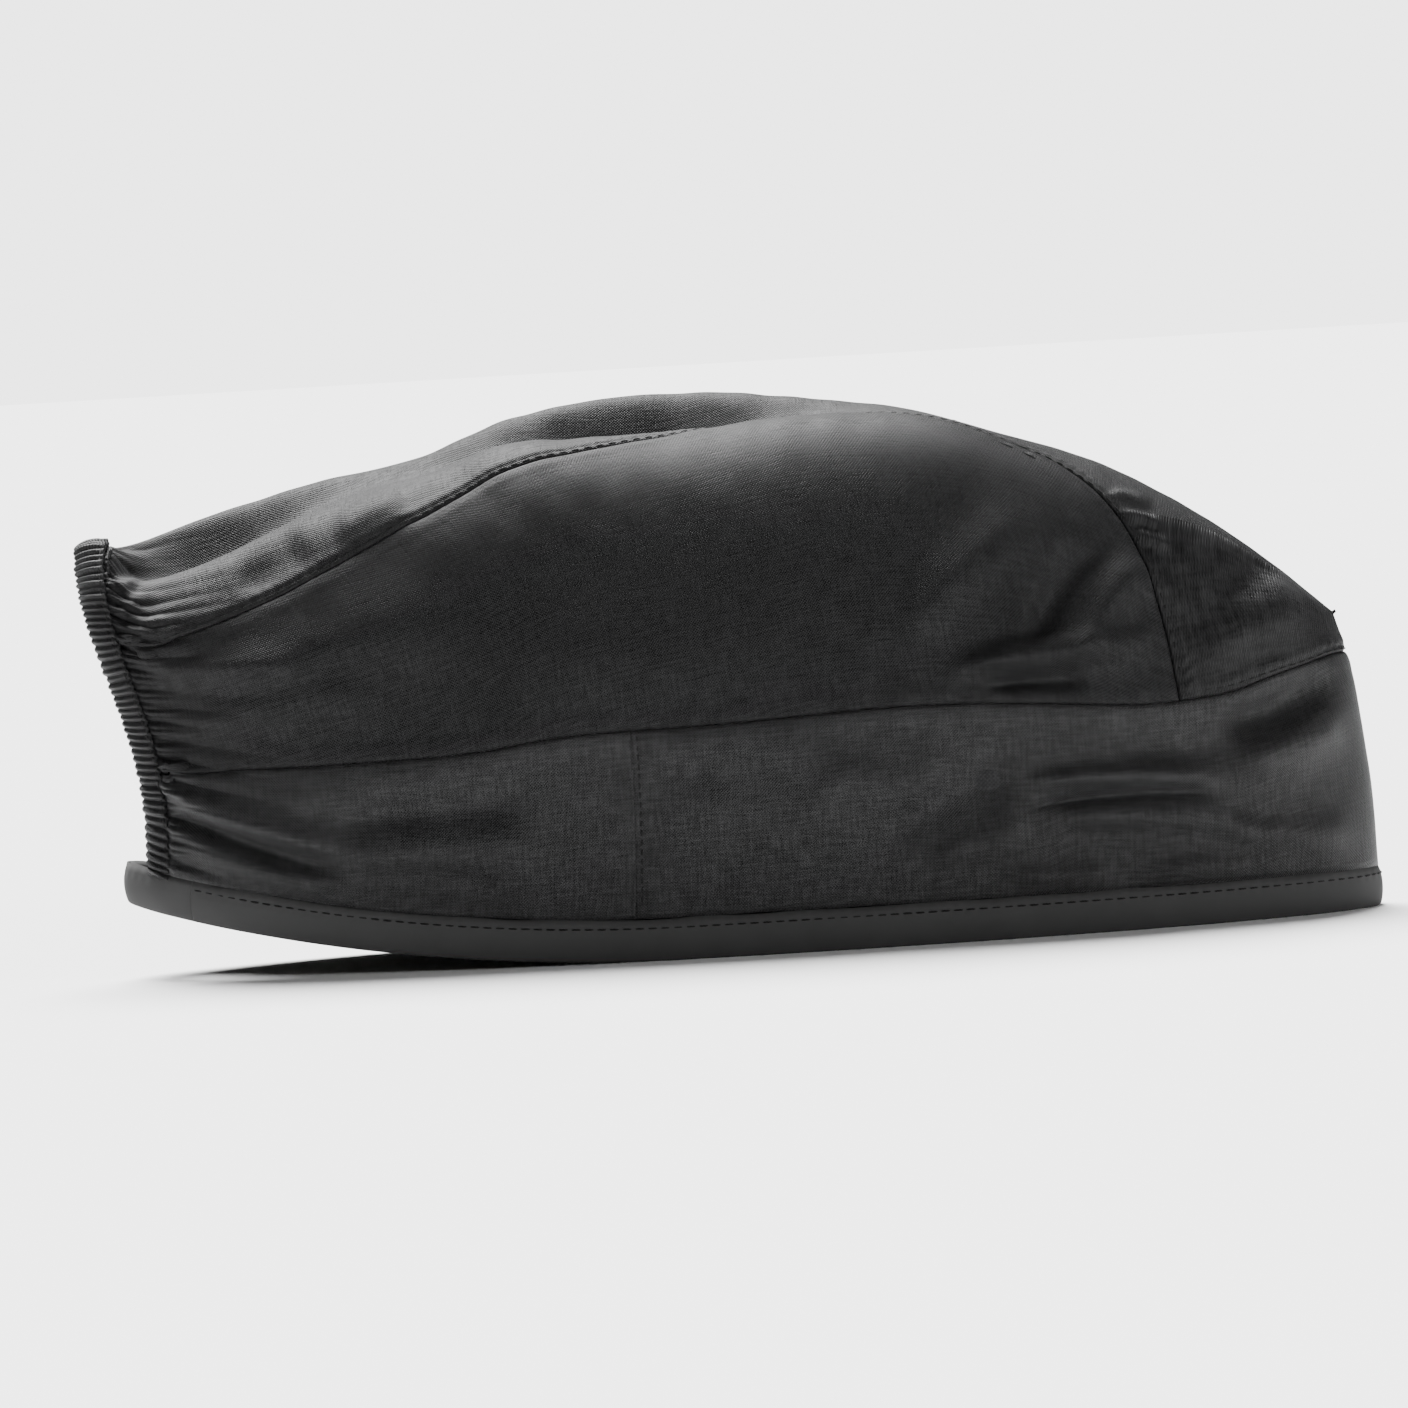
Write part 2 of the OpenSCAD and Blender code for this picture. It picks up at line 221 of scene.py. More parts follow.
CROWN_FOLDS = [
    (46, 58, 86, 60.5, 1, 3.4, 2.0), (52, 54, 72, 54, 0.3, 2, -1.3), (70, 58, 88, 78, 1.5, 4, 1.4),
    (62, 62, 78, 82, 2, 3.5, -1.4), (36, 66, 64, 88, 2.5, 6, 1.5), (-50, 66, 10, 70, -3, 14, 1.1),
    (-118, 60, -60, 74, 3, 7, 1.3), (-120, 54, -78, 60, 1, 4, 1.0), (-124, 66, -92, 66, 1, 3, 0.9),
    (81, 92.5, 88.5, 89.5, 0.4, 1.2, 0.7), (83.5, 88, 91, 85, 0.4, 1.2, 0.7),
    (85.5, 83.5, 92.5, 80.5, 0.4, 1.3, 0.6),
    (98, 57, 120, 66, 1, 5, 1.3), (104, 70, 120, 78, 0.6, 5, -1.0), (-84, 93, -70, 100, 0.6, 4, 1.1),
    (-106, 84, -92, 92, 0.5, 4, -0.9),
]
NAPE_PLEATS = [
    (-137, 91.5, -122, 88, 0.2, 1.3, 0.7), (-137, 88, -124, 86, 0.1, 1.3, -0.8),
    (-136, 85, -123, 86, -0.3, 1.2, 0.7), (-133, 78.5, -124, 84, 0.5, 1.4, 0.6),
    (-131, 74, -122, 78, 0.2, 1.4, 0.5),
]


def folds(x, z, rows):
    """Height of a set of folds at x, z. Each is a bell across a bowed line, and fades out at both ends."""
    total = np.zeros_like(x)
    for ax, az, bx, bz, bow, wide, high in rows:
        along = math.hypot(bx - ax, bz - az)
        ux, uz = (bx - ax) / along, (bz - az) / along
        t = ((x - ax) * ux + (z - az) * uz) / along
        across = (z - az) * ux - (x - ax) * uz - bow * 4 * t * (1 - t)
        ends = ease((t + 0.12) / 0.35) * ease((1.12 - t) / 0.35)
        total = total + high * bell(across / (wide * (0.75 + 0.5 * np.clip(t, 0, 1)))) * ends
    return total


class Pattern:
    """The cloth surface as functions of s, from the nape edge (0) to the forehead (1), and f, the angle
    round a cross-section: -90 at the right hem, 0 on top and 90 at the left hem. All in millimetres."""

    def __init__(self, sizes):
        self.length, self.mouth = sizes.length / MM, sizes.mouth / MM
        self.nape_rise, self.hem = sizes.nape_rise / MM, sizes.hem / MM
        self.casing, self.cloth = sizes.casing / MM, sizes.cloth / MM
        self.sx, self.sz = self.length / 270, sizes.height / MM / 123
        self.overhang = 4 * self.sx
        angles = np.linspace(-90, 90, 721)
        self.nape_arc = angles, travel(self.base(np.zeros_like(angles), angles))

    # side view

    def hem_line(self, x):
        """The hem's lower edge: level, then a parabola up to the nape. x is from the hem's middle."""
        return self.nape_rise * np.square(np.maximum(0, (-15 * self.sx - x) / (120 * self.sx)))

    def foot(self, s):
        """Lower edge of the panels in side view."""
        x = mix(-self.length / 2 + self.overhang, self.length / 2, np.asarray(s, float))
        return np.stack([x, self.hem_line(x) + self.hem], -1)

    def top(self, s):
        """Highest fold in side view."""
        x = mix(-142, 128.5, np.asarray(s, float)) * self.sx
        return np.stack([x, through(TOP_FOLD, s) * self.sz], -1)

    def side_view(self, s, h):
        """Coons patch: the edges' ruled surfaces added, less the corners' bilinear one."""
        def edge(start, a, b, end, t):
            t = np.asarray(t)[..., None]
            a, b = np.array(a) * (self.sx, self.sz), np.array(b) * (self.sx, self.sz)
            return start * (1 - t) ** 3 + 3 * a * t * (1 - t) ** 2 + 3 * b * t * t * (1 - t) + end * t ** 3
        a, b, c, d = self.foot(0.0), self.foot(1.0), self.top(0.0), self.top(1.0)
        nape = edge(a, (-127, 52), (-143, 73), c, h)
        forehead = edge(b, (135, 28), (133, 46), d, h)
        s1, h1 = s[..., None], h[..., None]
        ruled = mix(self.foot(s), self.top(s), h1) + mix(nape, forehead, s1)
        return ruled - mix(mix(a, b, s1), mix(c, d, s1), h1)

    # bare surface

    def half_width(self, s, a):
        """Ellipse in plan, with a little more room half way up the nape."""
        q = np.minimum(1, (self.overhang + (self.length - self.overhang) * s) / self.length)
        return self.mouth / 2 * np.sqrt(4 * q * (1 - q)) + 5 * (1 - s) ** 10 * np.sin(2 * a) ** 2

    def base(self, s, f):
        """Rounded section over the side view. The right fold lies lower, with a hollow between the two."""
        s, f = np.broadcast_arrays(np.asarray(s, float), np.asarray(f, float))
        a = np.radians(np.abs(f))
        p = self.side_view(s, np.maximum(0, np.cos(a)) ** 0.7)
        y = np.sign(f) * self.half_width(s, a) * np.sin(a) ** 0.75
        drop = 2 * (1 - s) + 13.5 * bell((s - 0.06) / 0.16) + 10 * bell((s - 0.46) / 0.15)
        sink = 2 * (1 - s) + 7 * bell((s - 0.1) / 0.09) + 10 * bell((s - 0.45) / 0.13)
        lower = drop * np.cos(a) ** 2 / (1 + np.exp((y - 2) / 3.5)) + sink * bell((y - 2) / 6.5)
        return np.stack([p[..., 0] + CAP_MIDDLE, y, p[..., 1] - ease(s / 0.06) * lower], -1)

    def normal(self, s, f):
        """Outward direction, from small steps along s and f."""
        s, f = np.broadcast_arrays(np.asarray(s, float), np.asarray(f, float))
        s0, s1 = np.maximum(0, s - 0.0005), np.minimum(1, s + 0.0005)
        f0, f1 = np.maximum(-89.99, f - 0.2), np.minimum(89.99, f + 0.2)
        return unit(np.cross(self.base(s1, f) - self.base(s0, f), self.base(s, f1) - self.base(s, f0)))

    # relief

    def gathers(self, s, f):
        """Rows of crests that leave the casing and fade: fine ones soonest, and long, wide ones last."""
        arc = np.interp(f, *self.nape_arc)
        gone = s * self.length - self.casing
        near = np.exp(-np.maximum(gone, 0) / 3.0)
        pitch = 0.25 * wander(arc / 6, 3)
        fine = 0.34 * near * ripple(arc / 1.55 + pitch)
        middle = 0.75 * np.exp(-np.maximum(gone, 0) / 9.0) * ripple(arc / 4.1 + 0.5 * pitch + 0.03 * gone)
        broad = 0.95 * np.exp(-np.square(gone / 34)) * wander(arc / 3.4 + gone / 60, 11) * ease(gone / 8)
        strong = 0.75 + 0.35 * wander(arc / 9, 5)
        tucked = 0.45 * ease(-gone / 2 + 0.35)
        return (fine + middle * strong + broad) * ease((gone + 2.5) / 3.5) - tucked

    def relief(self, s, f, p):
        """Everything that stands out of the bare surface: gathers, single folds and slight unevenness."""
        x, y, z = p[..., 0] - CAP_MIDDLE, p[..., 1], p[..., 2]
        left = ease((y + 7) / 14)
        single = 0.0
        for weight, side_x, side_z, high in ((1 - left, x, z, 1.35), (left, 0.92 * x - 17, z + 3, 0.95)):
            single = single + weight * high * folds(side_x, side_z, BAND_FOLDS + CROWN_FOLDS)
        single = single * ease((np.abs(f) - 4) / 20) * ease((134 - x) / 14)
        single = single + folds(x, z, NAPE_PLEATS) * (1 - left)
        uneven = 0.34 * wander(x / 11 + 0.5 * np.sin(z / 13) + y / 25, 21) * wander(z / 9 + x / 40, 22)
        small = 0.10 * wander(x / 3.3 + z / 9, 23, 6) * wander(z / 3.6 - x / 11, 24, 6)
        return self.gathers(s, f) + single + uneven + small

    def cloth_at(self, s, f, lift=0.0):
        """The surface with its relief, moved out by lift."""
        s, f = np.broadcast_arrays(np.asarray(s, float), np.asarray(f, float))
        p = self.base(s, f)
        return p + self.normal(s, f) * (self.relief(s, f, p) + lift)[..., None]

    # seams

    def band_seam(self, s):
        """f of the seam between band and crown."""
        return through(BAND_SEAM, s)

    def crown_seam(self, t, side):
        """s and f of the seam between centre strip and side panel."""
        lean = 17 * bell((t - 0.57) / 0.13) if side == LEFT else 0.0
        return through(SEAM_S, t), through(SEAM_F, t) + lean

    def joint(self, v):
        """s of the upright joint between front and rear band."""
        return 0.396 + 0.009 * v

    @property
    def casing_s(self):
        """Where the panels start, a little way under the casing's edge."""
        return (self.casing - 2.2) / self.length

    # hem

    def loop(self, angle, out, height):
        """Ellipse in plan, from 0 at the nape through 90 on the right to 180 at the forehead."""
        a = np.radians(angle)
        x, y = -self.length / 2 * np.cos(a), -self.mouth / 2 * np.sin(a)
        n = unit(np.stack([x / (self.length / 2) ** 2, y / (self.mouth / 2) ** 2], -1))
        flat = np.stack([x + CAP_MIDDLE, y], -1) + n * np.asarray(out)[..., None]
        return np.concatenate([flat, (self.hem_line(x) + height)[..., None]], -1)


# ---- mesh making ---------------------------------------------------------------------------------

def grid_faces(rows, cols, round_cols=False):
    """Corners of a grid's quads, and, where it is round, those that close it."""
    i = np.arange(rows - 1)[:, None]
    j = np.arange(cols if round_cols else cols - 1)[None, :]
    j1 = (j + 1) % cols
    corners = [(i + di) * cols + k for di, k in ((0, j), (1, j), (1, j1), (0, j1))]
    return np.stack(corners, -1).reshape(-1, 4)


def add_mesh(name, points, smooth, finish, flat=None, rim=()):
    """A mesh from points in millimetres and arrays of faces, smooth ones and then a flat-shaded rim. flat
    gives each point's place on the cut cloth, in metres, and becomes the UV map that the weave follows."""
    mesh = bpy.data.meshes.new(name)
    points = np.asarray(points, float).reshape(-1, 3) * MM
    faces = [*smooth, *rim]
    corner = np.concatenate([f.ravel() for f in faces]).astype(np.int32)
    size = np.concatenate([np.full(len(f), f.shape[1]) for f in faces])
    mesh.vertices.add(len(points))
    mesh.vertices.foreach_set("co", points.ravel())
    mesh.loops.add(len(corner))
    mesh.loops.foreach_set("vertex_index", corner)
    mesh.polygons.add(len(size))
    mesh.polygons.foreach_set("loop_start", (np.cumsum(size) - size).astype(np.int32))
    mesh.polygons.foreach_set("use_smooth", np.arange(len(size)) < sum(len(f) for f in smooth))
    mesh.update(calc_edges=True)
    if flat is not None:
        layer = mesh.uv_layers.new(name="cut")
        layer.data.foreach_set("uv", np.asarray(flat, float).reshape(-1, 2)[corner].ravel())
    mesh.materials.append(finish)
    piece = bpy.data.objects.new(name, mesh)
    bpy.context.collection.objects.link(piece)
    return piece


def grid_normals(points, turned):
    """Outward direction at each point of a grid, from its neighbours."""
    n = np.cross(np.gradient(points, axis=0), np.gradient(points, axis=1))
    return unit(n) * (-1 if turned else 1)


def flat_places(points):
    """Each grid point's place on the flat cloth, in metres: distance along the middle column, and distance
    from that column along its own row."""
    middle = points.shape[1] // 2
    u = np.broadcast_to(travel(points[:, middle])[:, None], points.shape[:2])
    v = travel(points, 1)
    return np.stack([u, v - v[:, middle:middle + 1]], -1) * MM


def border(rows, cols):
    """The grid's border points in order, once round."""
    r, c = np.arange(rows) * cols, np.arange(cols)
    return np.concatenate([c[:-1], r[:-1] + cols - 1, (c + (rows - 1) * cols)[:0:-1], r[:0:-1]])


def add_sheet(name, points, thickness, finish, turned=False):
    """Closed sheet of cloth: the grid as its outside, every second point moved in by the thickness as
    its lining, and a rim of triangles and quads between them. The grid has an odd number of lines each
    way."""
    rows, cols = points.shape[:2]
    lining = (points - grid_normals(points, turned) * thickness)[::2, ::2]
    inner_rows, inner_cols = lining.shape[:2]
    first = rows * cols
    ring, inner = border(rows, cols), border(inner_rows, inner_cols) + first
    middle, after, inner_after = ring[1::2], np.roll(ring[::2], -1), np.roll(inner, -1)
    rim = [np.stack([ring[::2], middle, inner], -1), np.stack([middle, after, inner_after, inner], -1)]
    sides = [grid_faces(rows, cols), grid_faces(inner_rows, inner_cols)[:, ::-1] + first]
    if turned:
        rim, sides = [f[:, ::-1] for f in rim], [f[:, ::-1] for f in sides]
    flat = flat_places(points)
    both = [np.concatenate([a.reshape(-1, a.shape[-1]), b.reshape(-1, a.shape[-1])])
            for a, b in ((points, lining), (flat, flat[::2, ::2]))]
    return add_mesh(name, both[0], sides, finish, both[1], rim)


def add_tube(name, points, finish):
    """Closed tube: each row of the grid is a ring, and a flat face closes each end."""
    rows, cols = points.shape[:2]
    ends = [np.arange(cols)[None, ::-1], np.arange(cols)[None, :] + (rows - 1) * cols]
    sides = [grid_faces(rows, cols, round_cols=True)]
    return add_mesh(name, points, sides, finish, flat_places(points), ends)


def count(n):
    return max(7, int(n * FINE)) | 1


def crowded(start, end, n, first=0.7, last=0.7):
    """n numbers from start to end that lie closer together at the ends."""
    t = np.linspace(0, 1, n)
    t = mix(t, 1 - np.cos(t * np.pi / 2), first * (1 - t))
    t = mix(t, np.sin(t * np.pi / 2), last * t)
    return mix(start, end, t)


class Edge:
    """One edge of a panel's grid. axis is the grid axis that runs away from it, and far says that it is
    that axis's last line."""

    def __init__(self, points, axis, far=False):
        gone = travel(points, axis)
        self.gone = np.take(gone, [-1], axis=axis) - gone if far else gone
        self.along = travel(points, 1 - axis)

    def dip(self, depth=0.8, wide=1.3):
        """Quarter round down into the seam."""
        g = np.clip(self.gone / wide, 0, 1)
        return depth * (1 - np.sqrt(1 - (1 - g) ** 2))

    def lip(self, height=0.2, away=2.6, wide=1.4):
        """Low swell of the seam allowance under the cloth."""
        return height * bell((self.gone - away) / wide)

    def stitched(self, pitch, away=1.3, depth=0.16):
        """Groove under a row of stitches, deeper at each one, and puckers that fade beyond it."""
        beat = np.cos(2 * np.pi * self.along / pitch)
        uneven = 1 + 0.5 * wander(self.along / 4, 51)
        groove = bell((self.gone - away) / 0.55) * (depth + 0.5 * depth * beat)
        return 0.07 * uneven * bell((self.gone - away - 1.4) / 1.2) * beat - groove


def seamed(points, turned, dips, moves=()):
    """The grid with its seams sunk by the deepest of the dips, and moved out by the sum of the moves."""
    total = sum(moves) - np.maximum.reduce(dips)
    return points + grid_normals(points, turned) * total[..., None]


def with_allowance(points, turned, sides):
    """Three more lines past each seamed edge that go straight in, so that the two cloths of a seam lie face
    to face. sides is made of "start" or "end" with an axis."""
    for axis, end in sides:
        inward = -np.take(grid_normals(points, turned), [-1 if end else 0], axis=axis)
        edge = np.take(points, [-1 if end else 0], axis=axis)
        lines = [edge + inward * depth for depth in (0.35, 0.9, 1.6, 2.4)]
        order = [points, *lines] if end else [*lines[::-1], points]
        points = np.concatenate(order, axis=axis)
    return points


def stitch_row(name, points, ups, stitches, finish, short=1.0):
    """A row of stitches along a path: one low rounded bar per pitch, laid along the path."""
    gone = travel(points)
    pitch, half = short * stitches.pitch / MM, short * stitches.stitch / MM / 2
    thick = stitches.thread / MM / 2
    at = np.arange(pitch / 2, gone[-1] - pitch / 4, pitch)

    def sample(values, where):
        return np.stack([np.interp(where, gone, values[:, k]) for k in range(3)], -1)

    centre, along = sample(points, at), unit(sample(points, at + 0.4) - sample(points, at - 0.4))
    up = sample(ups, at)
    up = unit(up - along * (up * along).sum(-1, keepdims=True))
    across = np.cross(up, along)
    rings, sides = 7, 6
    u = np.linspace(-1, 1, rings)[:, None]
    v = np.arange(sides)[None, :] * np.pi / 3
    swell = np.maximum(1 - u ** 4, 0.02) ** 0.5
    sag = 0.5 * thick * u ** 4
    shape = [u * half + 0 * v, thick * swell * np.cos(v), thick * swell * np.sin(v) - sag]
    body = sum(c[None, ..., None] * axis[:, None, None, :] for c, axis in zip(shape, (along, across, up)))
    body = body + centre[:, None, None, :]
    ends = np.array([[3, 2, 1, 0], [5, 4, 3, 0], [36, 37, 38, 39], [36, 39, 40, 41]])
    one = np.concatenate([grid_faces(rings, sides, round_cols=True), ends])[:, ::-1]
    quads = (one[None] + (np.arange(len(at)) * rings * sides)[:, None, None]).reshape(-1, 4)
    return add_mesh(name, body, [quads], finish)


# ---- materials --------------------------------------------------------------------------------------

class Socket:
    """A shader socket or number that Python's own sums and products work on."""

    def __init__(self, nodes, link):
        self.nodes, self.link = nodes, link

    def sum(self, operation, *values):
        return self.nodes.add("ShaderNodeMath", {"operation": operation}, *values)

    def __add__(self, other):
        return self.sum("ADD", self, other)

    def __radd__(self, other):
        return self.sum("ADD", other, self)

    def __sub__(self, other):
        return self.sum("SUBTRACT", self, other)

    def __rsub__(self, other):
        return self.sum("SUBTRACT", other, self)

    def __mul__(self, other):
        return self.sum("MULTIPLY", self, other)

    def __rmul__(self, other):
        return self.sum("MULTIPLY", other, self)

    def sine(self):
        return self.sum("SINE", self)

    def clamped(self):
        return self.nodes.add("ShaderNodeClamp", {}, self)


class Finish:
    """A material made of nodes. add() makes one node; settings come first, then its sockets' values."""

    def __init__(self, name):
        self.material = bpy.data.materials.new(name)
        self.material.use_nodes = True
        self.tree = self.material.node_tree
        self.tree.nodes.clear()

    def add(self, kind, settings=None, *values, output=0, **named):
        """One node: settings are its own properties, values go to its first sockets, named to the others."""
        node = self.tree.nodes.new(kind)
        for key, value in (settings or {}).items():
            if key == "stops":
                for stop, (place, colour) in zip(node.color_ramp.elements, value):
                    stop.position, stop.color = place, colour
            else:
                setattr(node, key, value)
        for key, value in [*enumerate(values), *((k.replace("_", " "), v) for k, v in named.items())]:
            if isinstance(value, Socket):
                self.tree.links.new(value.link, node.inputs[key])
            else:
                node.inputs[key].default_value = value
        return Socket(self, node.outputs[output])

    def surface(self, **inputs):
        """The Principled shader with these inputs, as the material's surface."""
        shader = self.add("ShaderNodeBsdfPrincipled", None, **inputs)
        self.tree.nodes.new("ShaderNodeOutputMaterial")
        self.tree.links.new(shader.link, self.tree.nodes[-1].inputs["Surface"])
        return self.material


def woven(name, colour, gloss=0.14, rough=0.55, sheen=0.03, weave=0.00066, slub=0.5, bump=0.8):
    """Plain weave on the cut cloth's own UV map: crossing threads, uneven slubs along both of them,
    faint wear in the colour, and a sheen that is the same all over."""
    m = Finish(name)
    cut = m.add("ShaderNodeUVMap", {"uv_map": "cut"})
    split = m.add("ShaderNodeSeparateXYZ", None, cut)
    u, v = Socket(m, split.link.node.outputs[0]), Socket(m, split.link.node.outputs[1])
    around = 2 * math.pi / weave
    warp, weft = (u * around).sine(), (v * around).sine()
    cross = warp * weft

    def streak(across, along, seed):
        """Noise drawn out along one thread direction."""
        place = m.add("ShaderNodeCombineXYZ", None, u * across, v * along, float(seed))
        noise = m.add("ShaderNodeTexNoise", {"noise_dimensions": "3D"}, place,
                      Scale=1.0, Detail=3.0, Roughness=0.6)
        return noise - 0.5
    along_u, along_v = streak(180, 1500, 1), streak(1500, 180, 7)
    broad = streak(55, 55, 3)
    grain = along_u + along_v
    tone = 0.9 + grain * slub * 2.4 + broad * 0.6 + cross * 0.16
    shade = m.add("ShaderNodeMapRange", {"clamp": True}, tone, 0.4, 1.6, 0.3, 2.1)
    base = m.add("ShaderNodeMix", {"data_type": "RGBA", "blend_type": "MULTIPLY"}, 1.0)
    node = base.link.node
    node.inputs[6].default_value = (*colour, 1.0)
    grey = m.add("ShaderNodeCombineColor", None, shade, shade, shade)
    m.tree.links.new(grey.link, node.inputs[7])
    base = Socket(m, node.outputs[2])
    height = cross * 0.35 + grain * 1.3
    normal = m.add("ShaderNodeBump", None, Strength=bump, Distance=0.00022, Height=height)
    roughness = (rough + grain * 0.5 + broad * 0.15).clamped()
    coat = (0.3 + grain * 2.2 + cross * 0.35).clamped() * gloss * 2.2
    return m.surface(Base_Color=base, Roughness=roughness, Normal=normal, Specular_IOR_Level=gloss,
                     Coat_Weight=coat, Coat_Roughness=0.48, Coat_IOR=1.4,
                     Sheen_Weight=sheen, Sheen_Roughness=0.38, Sheen_Tint=(0.9, 0.9, 0.92, 1.0))


def spun(name, colour):
    """Sewing thread: two plies that wind round it as slanting bands, slightly glossy."""
    m = Finish(name)
    place = m.add("ShaderNodeTexCoord", None, output=3)
    split = m.add("ShaderNodeSeparateXYZ", None, place)
    x, y, z = (Socket(m, split.link.node.outputs[k]) for k in range(3))
    ply = ((x + y * 0.6 + z) * (2 * math.pi / 0.0007)).sine()
    fuzz = m.add("ShaderNodeTexNoise", None, place, Scale=2500.0, Detail=2.0)
    shade = (0.85 + ply * 0.2 + (fuzz - 0.5) * 0.5).clamped()
    base = m.add("ShaderNodeMix", {"data_type": "RGBA"}, shade)
    node = base.link.node
    node.inputs[6].default_value = (*[c * 0.4 for c in colour], 1.0)
    node.inputs[7].default_value = (*[c * 1.7 for c in colour], 1.0)
    normal = m.add("ShaderNodeBump", None, Strength=0.4, Distance=0.00008, Height=ply)
    return m.surface(Base_Color=Socket(m, node.outputs[2]), Roughness=0.7 + (fuzz - 0.5) * 0.2,
                     Normal=normal, Specular_IOR_Level=0.2)


def plain_floor(colour):
    """Matt studio floor with the faintest unevenness."""
    m = Finish("floor_paint")
    place = m.add("ShaderNodeTexCoord", None, output=3)
    noise = m.add("ShaderNodeTexNoise", None, place, Scale=6.0, Detail=3.0)
    base = m.add("ShaderNodeMix", {"data_type": "RGBA"}, noise)
    node = base.link.node
    node.inputs[6].default_value = (*colour, 1.0)
    node.inputs[7].default_value = (*[min(1.0, c * 1.02) for c in colour], 1.0)
    return m.surface(Base_Color=Socket(m, node.outputs[2]), Roughness=0.9, Specular_IOR_Level=0.2)


def finish_for(kind):
    """The material of that kind, made once."""
    found = bpy.data.materials.get(kind)
    if found:
        return found
    colours = bpy.context.scene.cap_colours
    makers = {
        "cap_cloth": lambda: woven(kind, colours.cloth, gloss=0.11),
        # band_cloth is cap_cloth painted a little lighter: painted light from the floor on the band and
        # casing.
        "band_cloth": lambda: woven(kind, colours.band, gloss=0.18, sheen=0.06),
        # The hem's cloth is cap_cloth painted much lighter: painted light on the hem and strap.
        "hem_cloth": lambda: woven(kind, colours.hem, gloss=0.3, sheen=0.15),
        "sweatband_cloth": lambda: woven(kind, colours.lining, rough=0.7, sheen=0.2, weave=0.0009,
                                         bump=0.4),
        "elastic_tape": lambda: woven(kind, colours.elastic, rough=0.7, sheen=0.2, weave=0.0011, bump=0.6),
        "black_thread": lambda: spun(kind, colours.thread),
    }
    return makers[kind]()


# ---- which body each piece follows -------------------------------------------------------------------

ARCH_NODES = frame["record"]["behaviour"]["bodies"]["nape_arch"]


def follow(piece, node, bends=False):
    """The piece stands for this node, whose part it hides. It rides on the node's body, or, where it would
    bend between cap and nape arch, keeps its place baked into its mesh and rides on no body.
    """
    if bends:
        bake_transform(piece)
    else:
        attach(piece, "nape_arch" if node in ARCH_NODES else "cap")
    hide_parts(node)


def cut(piece, width, length, held, area=None):
    """Takes a sheet's size as it was cut, in millimetres, and does nothing more with it. area is not used.
    """
    width * MM
    length * MM


# ---- operators ------------------------------------------------------------------------------------------

class CAP_OT_stage(bpy.types.Operator):
    """Make the floor, the soft studio light and the camera"""

    bl_idname = "cap.stage"
    bl_label = "Stage"

    def execute(self, context):
        scene = context.scene
        half = 30.0           # wide enough to reach the background at any angle, in metres
        corners = np.array([[-half, -half, 0], [half, -half, 0], [half, half, 0], [-half, half, 0]]) / MM
        finish = plain_floor(scene.cap_colours.floor)
        floor = add_mesh("floor", corners, [np.array([[0, 1, 2, 3]])], finish)
        self.light("back_light", (-0.25, 0.68, 1.4), (0.0, 0.0, 0.06), 38.0, 17.0)
        self.light("front_light", (1.3, -1.0, 0.5), (0.05, 0.0, 0.04), 14.0, 1.8)
        self.background(scene)
        self.camera(scene)
        return {"FINISHED"}

    def light(self, name, place, target, spread, strength):
        """An even light from one direction, as soft as its spread in degrees."""
        lamp = bpy.data.lights.new(name, "SUN")
        lamp.angle, lamp.energy = math.radians(spread), strength
        holder = bpy.data.objects.new(name, lamp)
        holder.location = place
        holder.rotation_euler = (Vector(target) - Vector(place)).to_track_quat("-Z", "Y").to_euler()
        bpy.context.collection.objects.link(holder)

    def background(self, scene):
        """White behind everything, and a weaker, even light from all round."""
        world = bpy.data.worlds.new("studio")
        scene.world = world
        world.use_nodes = True
        tree = world.node_tree
        tree.nodes.clear()
        ray = tree.nodes.new("ShaderNodeLightPath")
        strength = tree.nodes.new("ShaderNodeMapRange")
        tree.links.new(ray.outputs["Is Camera Ray"], strength.inputs["Value"])
        strength.inputs["To Min"].default_value, strength.inputs["To Max"].default_value = 0.03, 3.6
        sky, out = tree.nodes.new("ShaderNodeBackground"), tree.nodes.new("ShaderNodeOutputWorld")
        sky.inputs["Color"].default_value = (1, 1, 1, 1)
        tree.links.new(strength.outputs["Result"], sky.inputs["Strength"])
        tree.links.new(sky.outputs["Background"], out.inputs["Surface"])

    def camera(self, scene):
        """Square to the cap's right side, a little above it, rolled so that the forehead stands higher."""
        rise, roll = math.radians(3.0), math.radians(3.4)
        away, lens, sensor = 1.52, 180.0, 36.0
        aim = Vector((-0.0056, 0.0, 0.0519))
        data = bpy.data.cameras.new("camera")
        data.lens, data.sensor_width = lens, sensor
        holder = bpy.data.objects.new("camera", data)
        back = Vector((0, -math.cos(rise), math.sin(rise)))
        turn = (-back).to_track_quat("-Z", "Y").to_matrix() @ Matrix.Rotation(-roll, 3, "Z")
        holder.matrix_world = Matrix.Translation(aim + back * away) @ turn.to_4x4()
        bpy.context.collection.objects.link(holder)
        scene.camera = holder


